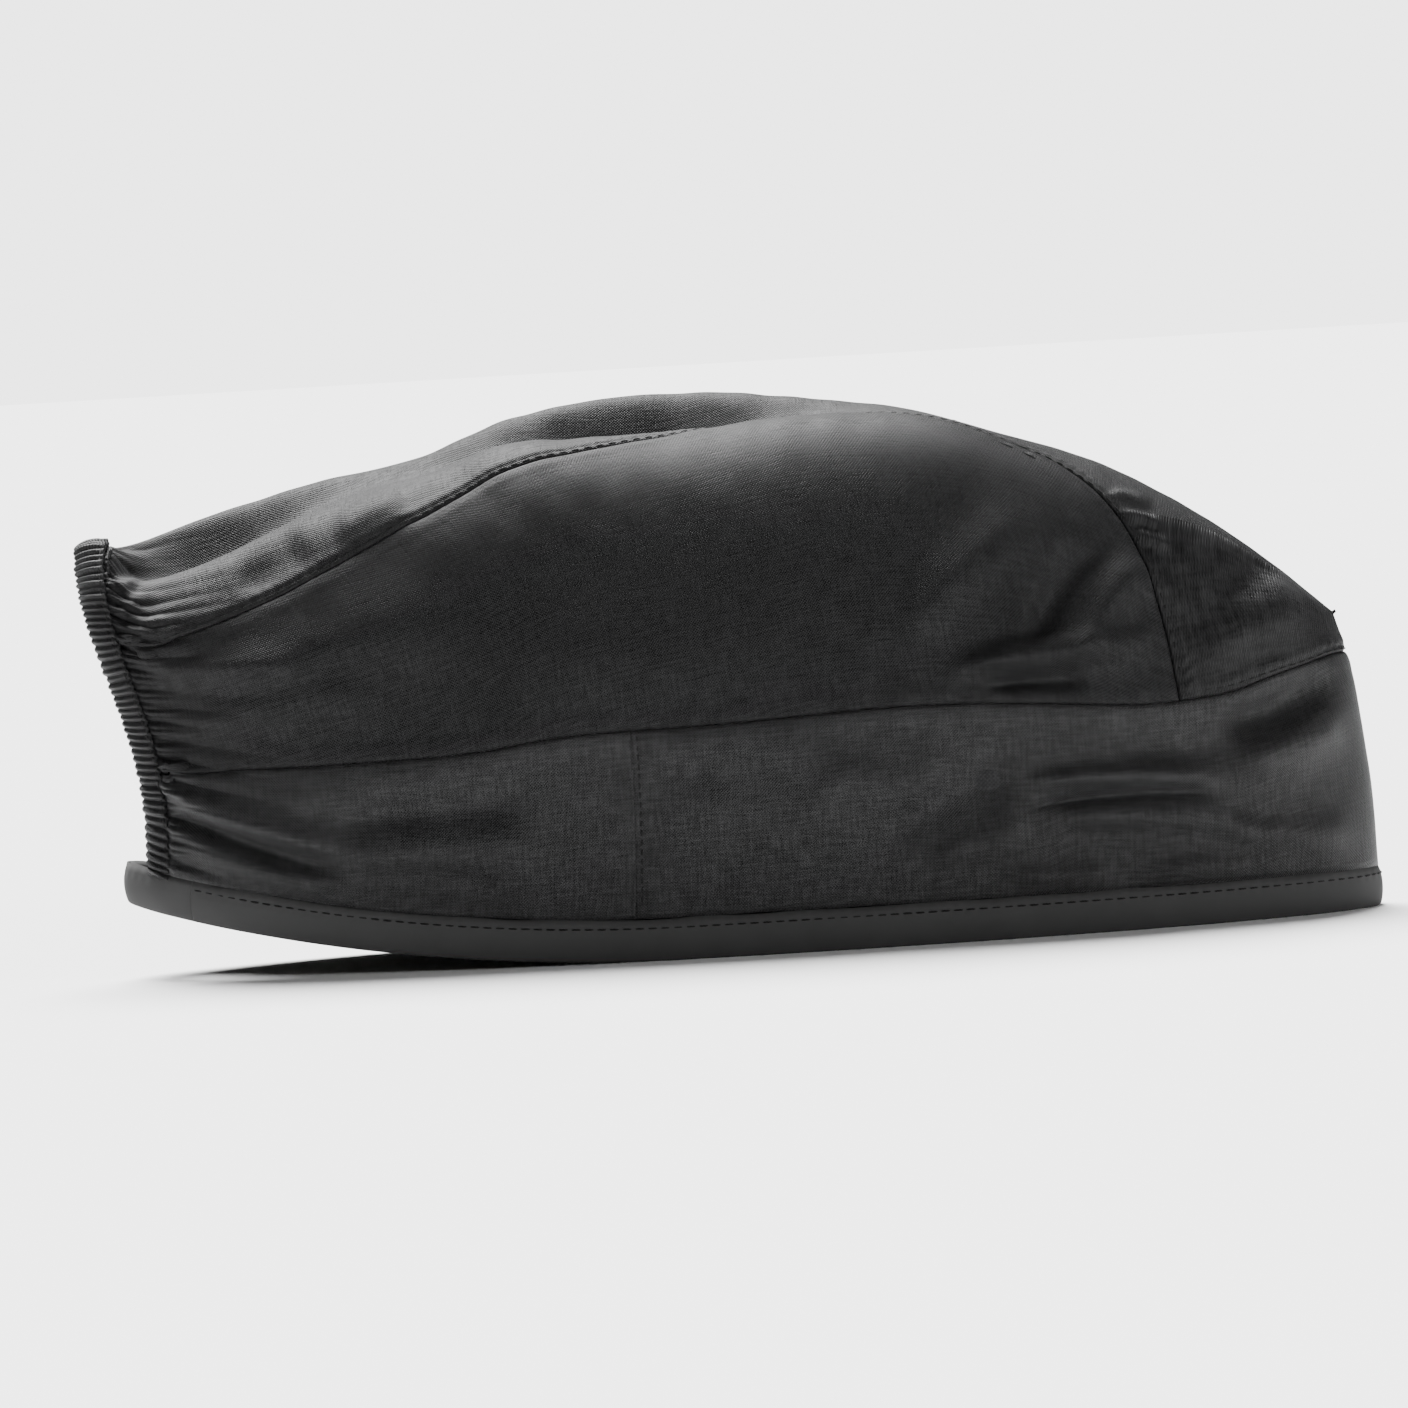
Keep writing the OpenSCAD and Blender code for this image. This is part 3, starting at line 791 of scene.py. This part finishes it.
class CAP_OT_crown(bpy.types.Operator):
    """Make the crown's centre strip and its two side panels"""

    bl_idname = "cap.crown"
    bl_label = "Crown"

    def execute(self, context):
        cap = Pattern(context.scene.cap_sizes)
        pitch = context.scene.cap_stitches.pitch / MM
        self.centre_strip(cap, pitch)
        for side, name in ((RIGHT, "right"), (LEFT, "left")):
            self.side_panel(cap, side, name, pitch)
        return {"FINISHED"}

    def centre_strip(self, cap, pitch):
        """Ruled between the two crown seams and the strip's middle, which runs along the top and down
        the forehead. t goes along the strip and c across it."""
        t = crowded(0, 1, count(385), 0.4)[:, None]
        c = crowded(-1, 1, count(185), 0.5, 0.5)[None, :]
        t, c = np.broadcast_arrays(t, c)
        side = np.where(c < 0, RIGHT, LEFT)
        left_s, left_f = cap.crown_seam(t, LEFT)
        right_s, right_f = cap.crown_seam(t, RIGHT)
        edge_s, edge_f = np.where(c < 0, right_s, left_s), np.where(c < 0, right_f, left_f)
        down = np.clip((t - STRIP_CORNER) / (1 - STRIP_CORNER), 0, 1)
        middle_s, middle_f = through(STRIP_S, np.minimum(t, STRIP_CORNER)), cap.band_seam(1.0) * down
        w = np.abs(c) ** mix(1.0, 2.0, ease((t - 0.6) / 0.25))
        s = np.maximum(mix(middle_s, edge_s, w), cap.casing_s)
        f = mix(middle_f, edge_f, w)
        f = f + t ** 12 * (cap.band_seam(s[-1:]) - f[-1:])
        points = cap.cloth_at(s, side * f)
        edges = [Edge(points, 1), Edge(points, 1, True), Edge(points, 0, True)]
        moves = [e.stitched(pitch) + e.lip() for e in edges]
        points = seamed(points, False, [e.dip() for e in edges], moves)
        points = with_allowance(points, False, [(1, False), (1, True), (0, True)])
        piece = add_sheet("crown_centre_cloth", points, cap.cloth, finish_for("cap_cloth"))
        follow(piece, "crown_centre_panel", bends=True)
        cut(piece, 90, 330, "stretched", area=0.0150)

    def side_panel(self, cap, side, name, pitch):
        """Coons patch in s and f between the band seam, the casing, and the crown seam's two stretches."""
        u = crowded(0, 1, count(291), 0.4)[:, None]
        v = crowded(0, 1, count(215))[None, :]
        start, end = cap.casing_s, SEAM_END

        def lower(u):
            s = mix(start, end, u)
            return np.stack([s, cap.band_seam(s)], -1)

        def upper(u):
            return np.stack(cap.crown_seam(mix(start, SEAM_TURN, u), side), -1)

        def forward(v):
            return np.stack(cap.crown_seam(mix(1.0, SEAM_TURN, v), side), -1)

        u1, v1 = u[..., None], v[..., None]
        corner = [lower(np.array(0.0)), lower(np.array(1.0)), upper(np.array(0.0)), upper(np.array(1.0))]
        rear = mix(corner[0], corner[2], v1)
        ruled = mix(lower(u), upper(u), v1) + mix(rear, forward(v), u1)
        place = ruled - mix(mix(corner[0], corner[1], u1), mix(corner[2], corner[3], u1), v1)
        points = cap.cloth_at(np.maximum(place[..., 0], start), side * place[..., 1])
        turned = side == LEFT
        edges = [Edge(points, 1), Edge(points, 1, True), Edge(points, 0, True)]
        points = seamed(points, turned, [e.dip() for e in edges], [e.lip(0.12) for e in edges])
        points = with_allowance(points, turned, [(1, False), (1, True), (0, True)])
        finish = finish_for("cap_cloth")
        piece = add_sheet(f"crown_side_cloth_{name}", points, cap.cloth, finish, turned)
        follow(piece, f"crown_side_panel_{name}", bends=True)
        cut(piece, 82, 236, "stretched", area=0.0138)


class CAP_OT_band(bpy.types.Operator):
    """Make the front band and the two rear bands"""

    bl_idname = "cap.band"
    bl_label = "Band"

    def execute(self, context):
        cap = Pattern(context.scene.cap_sizes)
        pitch = context.scene.cap_stitches.pitch / MM
        self.front(cap, pitch)
        for side, name in ((RIGHT, "right"), (LEFT, "left")):
            self.rear(cap, side, name, pitch)
        return {"FINISHED"}

    def front(self, cap, pitch):
        """Wraps round the forehead from joint to joint; lines crowd where the bend is tight."""
        t = crowded(-1, 1, count(561), 0.3, 0.3)[:, None]
        v = crowded(0, 1, count(115), 0.0)[None, :]
        s = 1 - (1 - cap.joint(v)) * t * t
        side = np.where(t < 0, RIGHT, LEFT)
        points = cap.cloth_at(s, side * mix(HEM_F, cap.band_seam(s), v))
        seam = Edge(points, 1, True)
        joints = [Edge(points, 0, far).stitched(pitch, 1.4, 0.12) for far in (False, True)]
        moves = [seam.lip(0.15), *joints]
        points = with_allowance(seamed(points, False, [seam.dip()], moves), False, [(1, True)])
        piece = add_sheet("front_band_cloth", points, cap.cloth, finish_for("band_cloth"))
        follow(piece, "front_band")
        cut(piece, 46, 345, "stretched", area=0.0142)

    def rear(self, cap, side, name, pitch):
        """From the casing to the joint, gathered at the casing."""
        t = crowded(0, 1, count(231), 0.4, 0.0)[:, None]
        v = crowded(0, 1, count(115), 0.0)[None, :]
        s = mix(cap.casing_s, cap.joint(v), t)
        points = cap.cloth_at(s, side * mix(HEM_F, cap.band_seam(s), v))
        turned = side == LEFT
        seam = Edge(points, 1, True)
        points = seamed(points, turned, [seam.dip()], [seam.lip(0.12)])
        points = with_allowance(points, turned, [(1, True)])
        finish = finish_for("band_cloth")
        piece = add_sheet(f"rear_band_cloth_{name}", points, cap.cloth, finish, turned)
        follow(piece, f"rear_band_{name}", bends=True)
        cut(piece, 44, 112, "gathered", area=0.0039)


class CAP_OT_hem(bpy.types.Operator):
    """Make the folded hem and the nape strap"""

    bl_idname = "cap.hem"
    bl_label = "Hem and Strap"

    STRAP_END = 27.2      # the strap's reach on each side of the nape, as an angle of the hem loop
    OVER = 0.7            # how far the hem's upper edge reaches over the band, in millimetres
    ROW = 1.9             # how far the stitched line lies below that edge
    THICK = 2.5           # the folded strip, outside to inside

    def execute(self, context):
        cap = Pattern(context.scene.cap_sizes)
        pitch = context.scene.cap_stitches.pitch / MM
        end = self.STRAP_END
        self.folded(cap, "hem_binding_cloth", "hem_binding", end, 360 - end, 1301, 545, pitch)
        self.folded(cap, "nape_strap_cloth", "nape_strap", -end, end, 161, 50, pitch)
        return {"FINISHED"}

    def folded(self, cap, name, node, start, end, steps, length, pitch):
        """A strip folded in two over the band's raw edge and carried round the hem. Its outside swells
        between the stitched line and the fold, and its upper edges are turned in."""
        angle = np.linspace(start, end, count(steps))[:, None]
        v = np.linspace(0, 1, count(53))[None, :]
        high, thick = cap.hem + self.OVER, self.THICK
        level = high * (1 - np.sin(np.pi * v) ** 0.62)
        wave = np.cos(np.pi * v)
        across = np.sign(wave) * np.abs(wave) ** 0.42
        path = travel(cap.loop(angle, 0 * angle, 0 * angle))
        beat = np.cos(2 * np.pi * path / pitch)
        groove = bell((level - (high - self.ROW)) / 0.55)
        rolls = 0.16 * wander(path / 9, 31) + 0.10 * wander(path / 2.6, 32)
        swell = 0.30 * bell((level - 0.42 * high) / 3.0) - groove * (0.28 + 0.12 * beat)
        puckers = 0.09 * bell((level - (high - 0.6)) / 0.9) * beat
        swell = swell + puckers + rolls * bell((level - 0.45 * high) / 3.5)
        turned_in = 0.7 * (1 - np.sqrt(1 - np.clip(1 - (high - level) / 0.7, 0, 1) ** 2))
        out = across * thick / 2 - 0.7 + np.where(wave > 0, swell, 0.4 * rolls) - np.sign(wave) * turned_in
        lift = 0.10 * wander(path / 5.5, 33) * ease((level - 0.55 * high) / 3)
        angle, level = np.broadcast_arrays(angle, level)
        points = cap.loop(angle, out, level + lift)
        # The hem's cloth is painted lighter than the crown's: painted light.
        piece = add_sheet(name, points, 0.5, finish_for("hem_cloth"), True)
        follow(piece, node, bends=True)
        cut(piece, 20, length, "folded")


class CAP_OT_nape(bpy.types.Operator):
    """Make the gathered casing round the nape and the elastic in it"""

    bl_idname = "cap.nape"
    bl_label = "Nape Casing"

    def execute(self, context):
        cap = Pattern(context.scene.cap_sizes)
        self.casing(cap)
        self.tape(cap)
        return {"FINISHED"}

    @staticmethod
    def width(cap, angle):
        """Width of the casing, a little more at its feet and over the top."""
        return cap.casing * (1 + 0.10 * ease((np.abs(angle) - 60) / 20) + 0.06 * bell(angle / 35))

    @staticmethod
    def carried(cap, angle, forward, out):
        """Places forward of the nape edge and out of the cloth, carried round the nape."""
        o = cap.base(0.0, angle)
        up = cap.normal(0.002, angle)
        ahead = unit(cap.base(0.01, angle) - o)
        return o + forward[..., None] * ahead + out[..., None] * up

    def casing(self, cap):
        """A flattened fold of cloth round the tape, drawn up into crests across its width."""
        end = 89.75
        angles, arc = cap.nape_arc
        first, last = np.interp(-end, angles, arc), np.interp(end, angles, arc)
        evenly = mix(first, last, np.linspace(0, 1, count(1001)))
        angle = np.interp(evenly, arc, angles)[:, None]
        v = np.linspace(0, 1, count(56))[None, :]
        gone = np.interp(angle, *cap.nape_arc)
        wide = self.width(cap, angle)
        deep = 2.3
        forward = wide * (1 - np.sin(np.pi * v) ** 0.6)
        wave = np.cos(np.pi * v)
        out = deep / 2 * np.sign(wave) * np.abs(wave) ** 0.5 - deep / 2
        pitch = 0.25 * wander(gone / 6, 3)
        drawn = 0.6 + 0.4 * bell((forward - 0.5 * wide) / (0.6 * wide))
        skew = 0.05 * wander(gone / 7, 61) * (forward - 3)
        crest = 0.48 * ripple(gone / 1.55 + pitch + skew) + 0.26 * wander(gone / 1.1 + skew, 62, 6)
        crest = crest * drawn
        puff = 0.35 * np.sin(np.pi * np.clip(forward / wide, 0, 1)) ** 0.8
        pinch = -0.2 * bell((forward - wide + 0.9) / 0.7)
        edge = np.sin(np.pi * v) ** 4
        forward = forward - crest * 0.8 * edge
        out = out + np.where(v < 0.5, 1, -1) * (crest + puff + pinch) * (1 - edge)
        angle, forward, out = np.broadcast_arrays(angle, forward, out)
        points = self.carried(cap, angle, forward, out)
        points[..., 2] -= 2.3 * ease((np.abs(angle) - 85) / 4.7)
        piece = add_sheet("nape_casing_cloth", points, 0.5, finish_for("band_cloth"))
        follow(piece, "nape_casing")
        cut(piece, 16, 262, "gathered")

    def tape(self, cap):
        """Flat tape with ribs along it, inside the casing."""
        angle = np.linspace(-88.6, 88.6, count(200))[:, None]
        turn = np.linspace(0, 2 * np.pi, count(40), endpoint=False)[None, :]
        across = np.sign(np.cos(turn)) * np.abs(np.cos(turn)) ** 0.4
        forward = cap.casing * 0.55 + 2.5 * across
        out = -1.3 + 0.22 * np.sin(turn) * (1 + 0.2 * np.cos(9 * turn))
        angle, forward, out = np.broadcast_arrays(angle, forward, out)
        points = self.carried(cap, angle, forward, out)
        piece = add_tube("nape_elastic_tape", points, finish_for("elastic_tape"))
        follow(piece, "nape_elastic")


class CAP_OT_sweatband(bpy.types.Operator):
    """Make the soft band inside the forehead"""

    bl_idname = "cap.sweatband"
    bl_label = "Sweatband"

    def execute(self, context):
        cap = Pattern(context.scene.cap_sizes)
        t = np.linspace(-1, 1, count(300))[:, None]
        v = np.linspace(0, 1, count(40))[None, :]
        s = 1 - (1 - cap.joint(v) - 0.01) * t * t
        side = np.where(t < 0, RIGHT, LEFT)
        low, high = 1.5, 27 + 0.5 * wander(t * 9, 41)
        height = mix(low, high, v) / (cap.top(s)[..., 1] - cap.hem)
        f = np.degrees(np.arccos(height ** (1 / 0.7)))
        fold = 0.35 * wander(t * 22, 42) * v
        points = cap.base(s, side * f) - cap.normal(s, side * f) * (cap.cloth + 1.0 - fold)[..., None]
        piece = add_sheet("sweatband_cloth", points, 0.6, finish_for("sweatband_cloth"))
        follow(piece, "sweatband")
        cut(piece, 27, 330, "folded")
        return {"FINISHED"}


class CAP_OT_stitches(bpy.types.Operator):
    """Make the rows of stitches"""

    bl_idname = "cap.stitches"
    bl_label = "Stitches"

    def execute(self, context):
        cap = Pattern(context.scene.cap_sizes)
        stitches = context.scene.cap_stitches
        finish = finish_for("black_thread")

        def row(name, node, s, f, lift, bends=False, short=1.0):
            """Stitches laid on the cloth along places s, f."""
            points, ups = cap.cloth_at(s, f, lift), cap.normal(s, f)
            follow(stitch_row(name, points, ups, stitches, finish, short=short), node, bends=bends)

        t = np.linspace(0.03, 0.985, 1200)
        for side, name in ((RIGHT, "right"), (LEFT, "left")):
            s, f = cap.crown_seam(t, side)
            step = 0.0046 * ease((t - 0.68) / 0.16)
            row(f"stitches_crown_{name}", f"crown_seam_thread_{name}", s + step,
                side * (f - 1.25 * (1 - ease((t - 0.7) / 0.14))), -0.12, bends=True)
            v = np.linspace(0.03, 0.98, 200)
            s = cap.joint(v) + 0.0052
            row(f"stitches_joint_{name}", f"band_joint_thread_{name}", s,
                side * mix(HEM_F, cap.band_seam(s), v), -0.05, short=0.74)
        t = np.linspace(-1, 1, 2400)
        s = 1 - (1 - SEAM_END) * t * t
        side = np.where(t < 0, RIGHT, LEFT)
        row("stitches_band", "band_seam_thread", s, side * (cap.band_seam(s) - 1.15), -0.1)

        angle = np.linspace(CAP_OT_hem.STRAP_END + 0.3, 360 - CAP_OT_hem.STRAP_END - 0.3, 3000)
        level = cap.hem + CAP_OT_hem.OVER - CAP_OT_hem.ROW
        points = cap.loop(angle, 0 * angle + 0.52, 0 * angle + level)
        ups = unit(cap.loop(angle, 0 * angle + 1.0, 0 * angle) - cap.loop(angle, 0 * angle, 0 * angle))
        follow(stitch_row("stitches_hem", points, ups, stitches, finish), "hem_thread", bends=True)

        angle = np.linspace(-89.0, 89.0, 2000)
        forward = CAP_OT_nape.width(cap, angle) - 0.8
        points = CAP_OT_nape.carried(cap, angle, forward, 0 * angle + 0.1)
        ups = cap.normal(0.01, angle)
        follow(stitch_row("stitches_casing", points, ups, stitches, finish), "casing_thread")
        return {"FINISHED"}


class CAP_PT_panel(bpy.types.Panel):
    """The cap's sizes, colours and operators"""

    bl_label = "Chef Cap"
    bl_idname = "CAP_PT_panel"
    bl_space_type = "VIEW_3D"
    bl_region_type = "UI"
    bl_category = "Chef Cap"

    def draw(self, context):
        titles = {"Sizes": "cap_sizes", "Stitches": "cap_stitches", "Colours": "cap_colours"}
        for title, group in titles.items():
            box = self.layout.box()
            box.label(text=title)
            values = getattr(context.scene, group)
            for name in values.__annotations__:
                box.prop(values, name)
        for step in STEPS:
            self.layout.operator(step.bl_idname)


STEPS = (CAP_OT_stage, CAP_OT_crown, CAP_OT_band, CAP_OT_hem, CAP_OT_nape, CAP_OT_sweatband, CAP_OT_stitches)
GROUPS = {"cap_sizes": CapSizes, "cap_stitches": StitchSizes, "cap_colours": CapColours}


def register():
    for kind in (*GROUPS.values(), *STEPS, CAP_PT_panel):
        bpy.utils.register_class(kind)
    for name, group in GROUPS.items():
        setattr(bpy.types.Scene, name, bpy.props.PointerProperty(type=group))


def unregister():
    for name in GROUPS:
        delattr(bpy.types.Scene, name)
    for kind in reversed((*GROUPS.values(), *STEPS, CAP_PT_panel)):
        bpy.utils.unregister_class(kind)


def main():
    register()
    bpy.ops.cap.stage()
    bpy.ops.cap.crown()
    bpy.ops.cap.band()
    bpy.ops.cap.hem()
    bpy.ops.cap.nape()
    bpy.ops.cap.sweatband()
    bpy.ops.cap.stitches()


if __name__ == "__main__":
    main()
